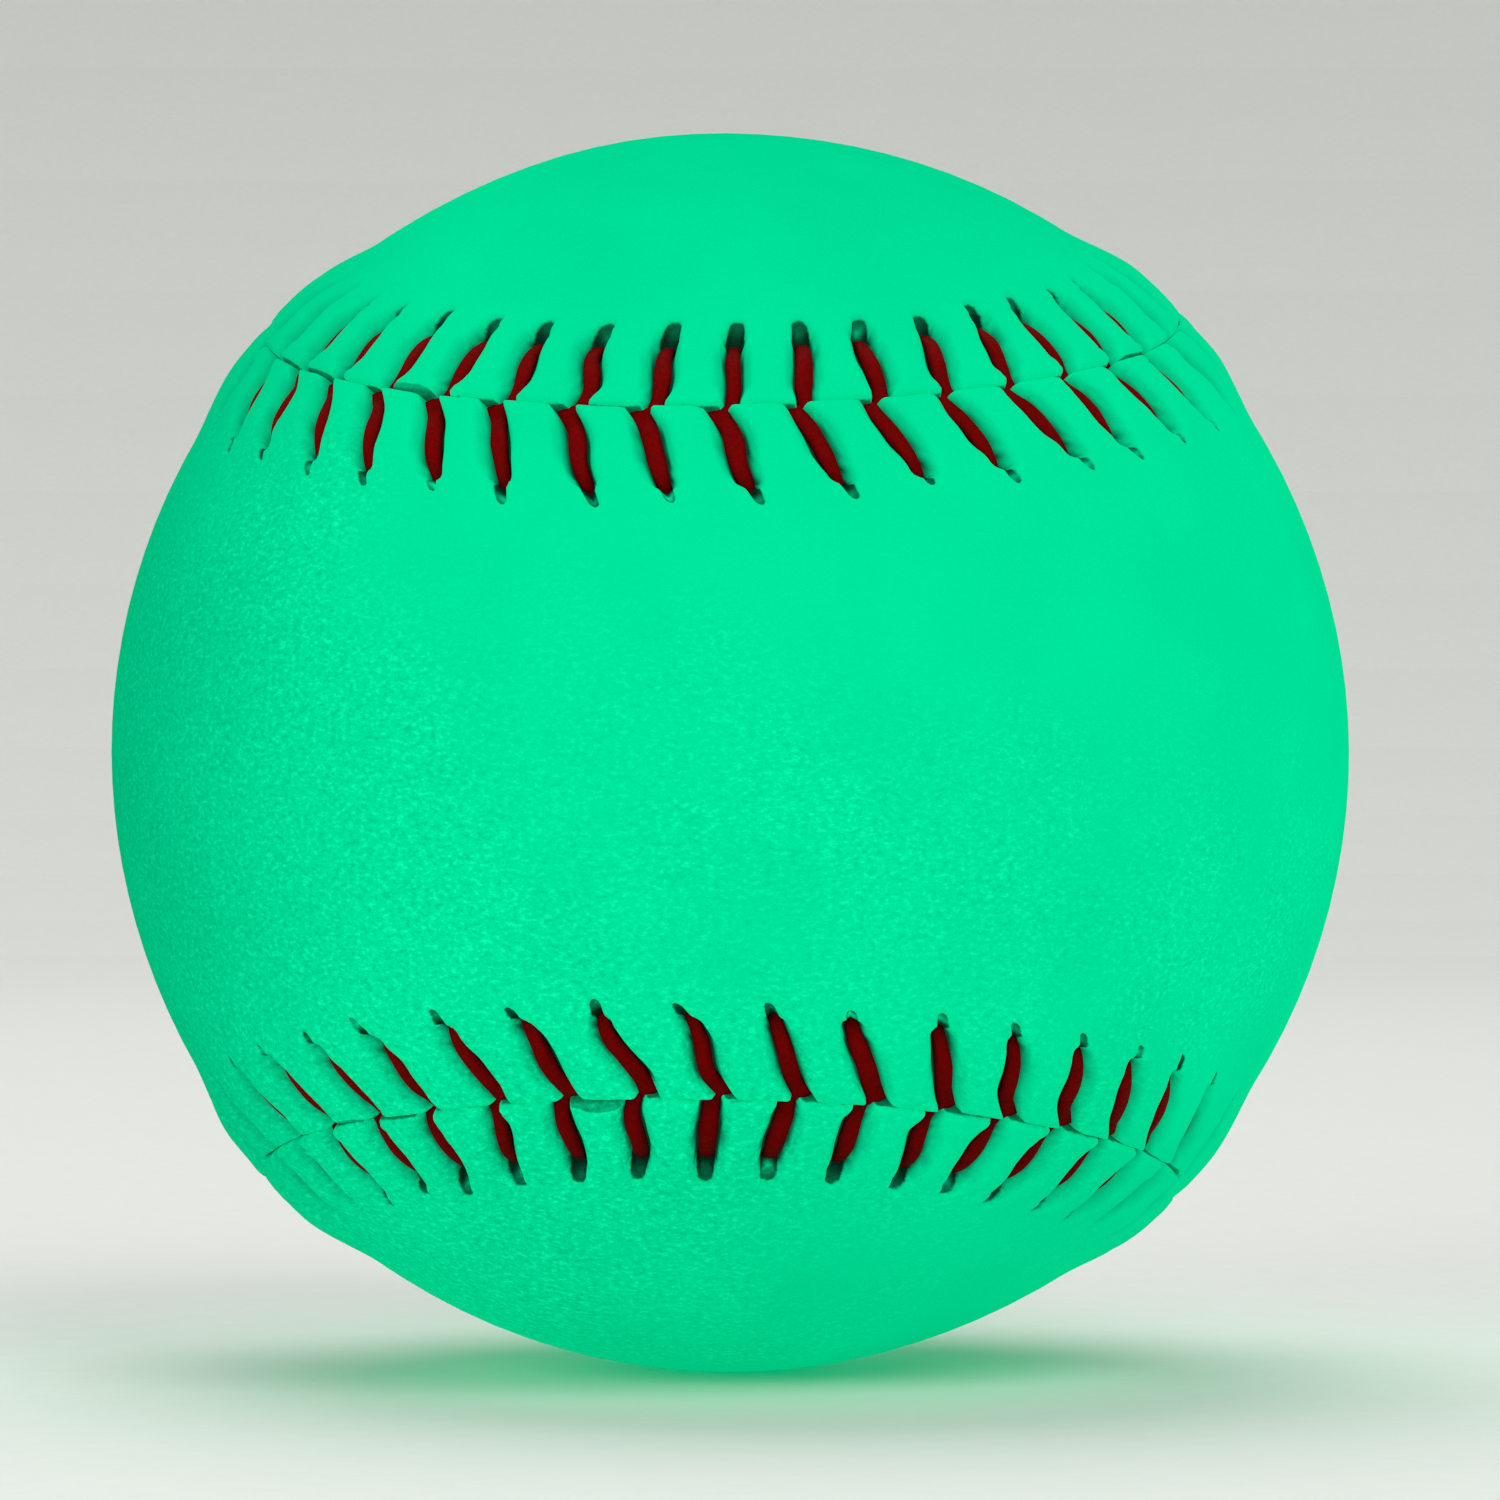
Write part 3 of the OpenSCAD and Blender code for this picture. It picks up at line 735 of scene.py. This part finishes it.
# Split leather with a phosphorescent coat: a green light of its own that hides most shading, without
# gloss, broken by a soft mottle and by grains of pigment. Real grains are too fine to show, so they are
# drawn coarser, most where the coat is rubbed, low and to the left. The glow carries painted shade: it
# is darker to the left, at the top and the bottom and in grooves, and bare leather in needle holes and
# the seam's gap is painted dark as in shade. Widened rolled edges are darker, and some holes hold a
# painted glint.
def glow_coated_leather(colours):
    speck_width, mottle_width, patch_width, pebble_width = 0.42, 9, 16, 0.55
    speck_squeeze = (1, 1, 1.7)
    low_left_way, low_way = (-0.6, 0, -0.8), (-0.2, 0, -1)
    band_fall, rub_rate, level_fall = -26.0, 22.0, -560.0
    material, tree, surface, where = new_material(
        "glow_coated_leather", Roughness=0.65, IOR=1.5, Specular_IOR_Level=0.0, Emission_Strength=1.03
    )
    # painted shade in recesses, the distance to bare leather painted as in shade, and the painted light on
    # it
    recess_shaded_glow, to_bare_and_shaded, shaft_light = (
        add(tree, "Attribute", attribute_name=name).outputs["Fac"]
        for name in ("recess_shaded_glow", "to_bare_and_shaded", "shaft_light")
    )

    # patterns: specks of pigment, the coat's mottle, and patches that were rubbed
    squeezed = add(tree, "Mapping", {"Vector": where, "Scale": speck_squeeze}).outputs["Vector"]
    speck, mottle, patch = (
        add(tree, "TexNoise", {
            "Vector": at, "Scale": per_metre(width), "Detail": detail, "Roughness": roughness,
        }).outputs["Fac"]
        for at, width, detail, roughness in (
            (squeezed, speck_width, 3.0, 0.7),
            (where, mottle_width, 3.0, 0.5),
            (where, patch_width, 4.0, 0.6),
        )
    )

    # where the coat is rubbed: to the low left and in a low band, less at the top and the bottom
    sideways, _, upward = add(tree, "SeparateXYZ", {"Vector": where}).outputs
    level = add(tree, "Math", {0: upward, 1: upward}, operation="MULTIPLY").outputs[0]
    low_left, low = (
        add(tree, "VectorMath", {0: where, 1: way}, operation="DOT_PRODUCT").outputs["Value"]
        for way in (low_left_way, low_way)
    )
    low_band = add(tree, "Math", {0: level, 1: band_fall, 2: low}, operation="MULTIPLY_ADD")
    low_side = add(tree, "Math", {0: low_left, 1: low_band.outputs[0]}, operation="MAXIMUM")
    rubbed = patch
    for share, rate in ((low_side.outputs[0], rub_rate), (level, level_fall)):
        summed = add(tree, "Math", {0: share, 1: rate, 2: rubbed}, operation="MULTIPLY_ADD")
        rubbed = summed.outputs[0]
    most, least = (
        add(tree, "MapRange", {
            "Value": rubbed, "From Min": 0.3, "From Max": 0.62, "To Min": plain, "To Max": worn,
        }).outputs["Result"]
        for plain, worn in ((0.05, 0.8), (0.98, 0.74))
    )

    # bright and dim grains, the mottle's light, fibres of bare leather, and painted shade at the top and
    # the bottom
    flecked, dimmed, mottle_light, fibres, top_and_bottom_shade = (
        add(tree, "MapRange", {
            "Value": value, "From Min": start, "From Max": end, "To Min": first, "To Max": last,
        }).outputs["Result"]
        for value, start, end, first, last in (
            (speck, 0.53, 0.66, 0.0, most), (speck, 0.34, 0.47, least, 1.0), (mottle, 0.3, 0.7, 0.98, 1.06),
            (speck, 0.35, 0.65, 0.8, 1.2), (level, 0.0002, 0.0013, 1.0, 0.82),
        )
    )
    # painted shade: the glow darkens towards the left side
    left_side_shade = add(tree, "MapRange", {
        "Value": sideways, "From Min": -0.042, "From Max": -0.014, "To Min": 0.45, "To Max": 1.0,
    }, interpolation_type="SMOOTHSTEP").outputs["Result"]

    # where the coat is left, with ragged rims, and the light of coat and bare leather, both with painted
    # shade
    ragged = add(tree, "Math", {0: speck, 1: 0.1, 2: to_bare_and_shaded}, operation="MULTIPLY_ADD")
    covered = add(tree, "MapRange", {
        "Value": ragged.outputs[0], "From Min": 0.02, "From Max": 0.08,
    }).outputs["Result"]
    raw_light = add(tree, "Math", {0: shaft_light, 1: fibres}, operation="MULTIPLY")
    kept = add(tree, "Mix", {
        "Factor": covered, VALUE_A: raw_light.outputs[0], VALUE_B: recess_shaded_glow,
    }).outputs[0]
    light = kept
    for share in (mottle_light, dimmed, left_side_shade, top_and_bottom_shade):
        light = add(tree, "Math", {0: light, 1: share}, operation="MULTIPLY").outputs[0]
    # the base colour turns dark with the same painted shade in grooves, needle holes and the seam's gap
    grain_colour, base_colour = (
        add(tree, "Mix", {
            "Factor": factor, COLOUR_A: (*first, 1), COLOUR_B: (*second, 1),
        }, data_type="RGBA").outputs[MIXED_COLOUR]
        for factor, first, second in (
            (flecked, colours.glow, colours.fleck), (kept, colours.shaded_bare_leather, colours.cover),
        )
    )
    glow = add(tree, "VectorMath", {0: grain_colour, "Scale": light}, operation="SCALE")
    pebble = add(tree, "TexVoronoi", {
        "Vector": where, "Scale": per_metre(pebble_width), "Randomness": 1.0,
    }, feature="SMOOTH_F1").outputs["Distance"]
    grain = add(tree, "Math", {0: pebble, 1: speck}, operation="ADD")
    bump = add(tree, "Bump", {
        "Height": grain.outputs[0], "Strength": 0.35, "Distance": 0.06 * MM,
    })
    tree.links.new(glow.outputs["Vector"], surface.inputs["Emission Color"])
    tree.links.new(base_colour, surface.inputs["Base Color"])
    tree.links.new(bump.outputs["Normal"], surface.inputs["Normal"])
    return material


# Twisted cotton drawn through wax: dark red with hardly any shine, and fibres that break its tone. Cotton
# fibres are too fine to show, so they are drawn as tufts a quarter of a millimetre wide.
def waxed_cotton_thread(colours):
    return noisy_material(
        "waxed_cotton_thread", colours.thread, width=0.25, noise={"Detail": 3.0, "Roughness": 0.65},
        tones=(0.75, 1.2), strength=0.4, depth=0.05, Roughness=0.6, Specular_IOR_Level=0.02,
    )


# Ground cork bound with rubber: brown crumbs of many tones, with a rough surface between them.
def ground_cork(colours):
    crumb_width = 1.6
    material, tree, surface, where = new_material("ground_cork", Roughness=0.9, Specular_IOR_Level=0.2)
    crumb = add(tree, "TexVoronoi", {"Vector": where, "Scale": per_metre(crumb_width)}).outputs
    tone = add(tree, "MapRange", {"Value": crumb["Color"], "To Min": 0.55, "To Max": 1.15})
    tone_and_grain(tree, surface, colours.cork, tone.outputs["Result"], crumb["Distance"], 0.6, 0.2)
    return material


# Moulded rubber: matt, with the faint bloom and fine pitting that a mould leaves.
def moulded_rubber(name, rgb):
    return noisy_material(
        name, rgb, width=2.5, noise={"Detail": 5.0, "Roughness": 0.7}, tones=(0.8, 1.25),
        strength=0.2, depth=0.05, Roughness=0.7, IOR=1.52, Specular_IOR_Level=0.35,
    )


# Spun yarn wound under tension: soft and matt, with a sheen of fuzz and tones that vary along it. Single
# fibres are too fine to show, so the fuzz is drawn about a third of a strand wide.
def spun_yarn(name, rgb, strand):
    return noisy_material(
        name, rgb, width=0.3 * strand, noise={"Detail": 4.0, "Roughness": 0.7}, tones=(0.6, 1.1),
        strength=0.8, depth=0.2 * strand, Roughness=0.95, Specular_IOR_Level=0.15, Sheen_Weight=0.3,
    )


# Seamless paper: an even pale tone with a barely visible tooth, drawn coarser than paper's own to show.
def studio_paper(colours):
    return noisy_material(
        "studio_paper", colours.floor, width=1.5, noise={"Detail": 3.0}, tones=(0.97, 1.03), span=(0, 1),
        Roughness=0.9, Specular_IOR_Level=0.1,
    )


def dress(piece, material):
    """Gives a piece, or a CAD node by name, one material."""
    mesh = frame["nodes"][piece].data if isinstance(piece, str) else piece.data
    mesh.materials.clear()
    mesh.materials.append(material)


class BASEBALL_OT_cover(bpy.types.Operator):
    """Makes the two leather panels of the cover"""

    bl_idname = "baseball.cover"
    bl_label = "Leather cover"

    def execute(self, context):
        seam = Seam(context.scene.baseball_sizes)
        leather = glow_coated_leather(context.scene.baseball_colours)
        for name, side, node in (
            ("front_leather", FRONT, "front_cover_panel"), ("rear_leather", REAR, "rear_cover_panel")
        ):
            points, faces, finishes = cover_panel(seam, side)
            piece = new_piece(name, points, faces, finishes, node)
            dress(piece, leather)
        return {"FINISHED"}


class BASEBALL_OT_threads(bpy.types.Operator):
    """Makes the two threads of the seam, one for each needle"""

    bl_idname = "baseball.threads"
    bl_label = "Sewing thread"

    def execute(self, context):
        seam = Seam(context.scene.baseball_sizes)
        cotton = waxed_cotton_thread(context.scene.baseball_colours)
        for name, side, node in (
            ("first_needle_thread", REAR, "first_thread"), ("second_needle_thread", FRONT, "second_thread")
        ):
            points, faces = thread_strand(seam, side)
            piece = new_piece(name, points, faces, {}, node)
            dress(piece, cotton)
        return {"FINISHED"}


class BASEBALL_OT_windings(bpy.types.Operator):
    """Winds the four layers of yarn under the cover"""

    bl_idname = "baseball.windings"
    bl_label = "Yarn windings"

    def execute(self, context):
        colours = context.scene.baseball_colours
        grey, white, cream = colours.grey_wool, colours.white_wool, colours.cotton
        # each winding: its node, the node inside it, slot, yarn, colour, strand in millimetres and wraps
        for node, inside, slot, yarn, rgb, strand, wraps in (
            ("first_winding", "rubber_jacket", "grey_wool", "four_ply_grey_wool", grey, 1.4, 110),
            ("second_winding", "first_winding", "white_wool", "three_ply_white_wool", white, 1.1, 150),
            ("third_winding", "second_winding", "grey_wool", "three_ply_grey_wool", grey, 1.1, 160),
            ("finish_winding", "third_winding", "cotton_yarn", "fine_cotton_yarn", cream, 0.7, 240),
        ):
            outer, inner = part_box(node)[1][2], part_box(inside)[1][2]
            points, faces = wound_ball(outer, inner, strand * MM, wraps)
            piece = new_piece(node + "_yarn", points, faces, {}, node)
            dress(piece, spun_yarn(yarn, rgb, strand))
        return {"FINISHED"}


class BASEBALL_OT_centre(bpy.types.Operator):
    """Finishes the cushioned cork centre"""

    bl_idname = "baseball.centre"
    bl_label = "Cork centre"

    def execute(self, context):
        colours = context.scene.baseball_colours
        red_rubber = moulded_rubber("red_moulded_rubber", colours.red_rubber)
        black_rubber = moulded_rubber("black_moulded_rubber", colours.black_rubber)
        dress("cork_core", ground_cork(colours))
        for node in ("upper_rubber_cup", "lower_rubber_cup"):
            dress(node, black_rubber)
        for node in ("cup_gasket", "rubber_jacket"):
            dress(node, red_rubber)
        return {"FINISHED"}


def studio_cove(floor_height):
    """Round floor that curves up into a wall: a straight run, a quarter circle and a straight rise,
    revolved."""
    hub, flat, bend, top, around, arc = 0.002, 0.8, 1.2, 2.4, 96, 32
    angle = np.linspace(0, math.pi / 2, arc)
    out = np.concatenate([[hub], flat + bend * np.sin(angle), [flat + bend]])
    up = np.concatenate([[0.0], bend - bend * np.cos(angle), [top]]) + floor_height
    faces = [*grid_faces(around, len(up)).tolist(), list(range(around))]
    return revolved(out, up, around), faces


def place_lights(scene):
    """Three round soft lamps that face the ball's middle, in a dim, slightly cool room."""
    room_colour, room_strength = (0.9, 0.95, 1.0, 1), 0.4
    for name, place, size, power in (
        ("key_light", (0.6, -0.9, 0.8), 0.9, 7.0),
        ("low_fill_light", (-0.5, -1.0, 0.25), 0.9, 6.0),
        ("back_light", (-0.2, 0.5, 1.2), 1.2, 9.0),
    ):
        lamp = bpy.data.lights.new(name, "AREA")
        lamp.shape = "DISK"
        lamp.size = size
        lamp.energy = power
        holder = bpy.data.objects.new(name, lamp)
        holder.location = place
        holder.visible_camera = False
        holder.rotation_euler = (-Vector(place)).to_track_quat("-Z", "Y").to_euler()
        scene.collection.objects.link(holder)
    world = bpy.data.worlds.new("soft_room")
    world.use_nodes = True
    background = world.node_tree.nodes["Background"]
    background.inputs["Color"].default_value = room_colour
    background.inputs["Strength"].default_value = room_strength
    scene.world = world
    scene.view_settings.view_transform = "Standard"


def place_camera(scene):
    """The camera at the photograph's viewing angle, level with the ball's middle."""
    # the photograph's frame in pixels, with the ball's middle and radius, which lens and shift keep
    frame_width, ball_x, ball_y, ball_pixels = 1500, 730, 752.5, 619
    radii_away, yaw = 12, math.radians(4.86)
    distance = radii_away * scene.baseball_sizes.ball_radius
    focal_pixels = ball_pixels * math.sqrt(radii_away**2 - 1)
    lens = bpy.data.cameras.new("photo_camera")
    lens.sensor_width = 36
    lens.lens = focal_pixels / frame_width * lens.sensor_width
    lens.shift_x = (frame_width / 2 - ball_x) / frame_width
    lens.shift_y = (ball_y - frame_width / 2) / frame_width
    lens.clip_start = 0.01
    camera = bpy.data.objects.new("photo_camera", lens)
    camera.location = (distance * math.sin(yaw), -distance * math.cos(yaw), 0)
    camera.rotation_euler = (math.pi / 2, 0, yaw)
    scene.collection.objects.link(camera)
    scene.camera = camera


class BASEBALL_OT_stage(bpy.types.Operator):
    """Sets the floor, the lights and the camera"""

    bl_idname = "baseball.stage"
    bl_label = "Studio stage"

    def execute(self, context):
        scene = context.scene
        points, faces = studio_cove(REST_HEIGHT)
        mesh = bpy.data.meshes.new("studio_cove")
        mesh.from_pydata(points, [], faces)
        cove = bpy.data.objects.new("studio_cove", mesh)
        scene.collection.objects.link(cove)
        dress(cove, studio_paper(scene.baseball_colours))
        place_lights(scene)
        place_camera(scene)
        return {"FINISHED"}


class BASEBALL_PT_panel(bpy.types.Panel):
    """Lists the sizes, the colours and the steps that build the ball"""

    bl_idname = "BASEBALL_PT_panel"
    bl_label = "Baseball"
    bl_space_type = "VIEW_3D"
    bl_region_type = "UI"
    bl_category = "Baseball"

    def draw(self, context):
        for group in (context.scene.baseball_sizes, context.scene.baseball_colours):
            column = self.layout.column()
            for name in group.__annotations__:
                column.prop(group, name)
        for operator in OPERATORS:
            self.layout.operator(operator.bl_idname)


OPERATORS = (
    BASEBALL_OT_stage, BASEBALL_OT_centre, BASEBALL_OT_windings, BASEBALL_OT_cover, BASEBALL_OT_threads,
)
CLASSES = (BASEBALL_PG_sizes, BASEBALL_PG_colours, *OPERATORS, BASEBALL_PT_panel)


def register():
    """Registers the classes and hangs the sizes and colours on the scene."""
    for cls in CLASSES:
        bpy.utils.register_class(cls)
    bpy.types.Scene.baseball_sizes = PointerProperty(type=BASEBALL_PG_sizes)
    bpy.types.Scene.baseball_colours = PointerProperty(type=BASEBALL_PG_colours)


def unregister():
    """Takes back what register added."""
    del bpy.types.Scene.baseball_colours
    del bpy.types.Scene.baseball_sizes
    for cls in reversed(CLASSES):
        bpy.utils.unregister_class(cls)


def main():
    """Builds the stage and the ball."""
    register()
    bpy.ops.baseball.stage()
    bpy.ops.baseball.centre()
    bpy.ops.baseball.windings()
    bpy.ops.baseball.cover()
    bpy.ops.baseball.threads()


if __name__ == "__main__":
    main()
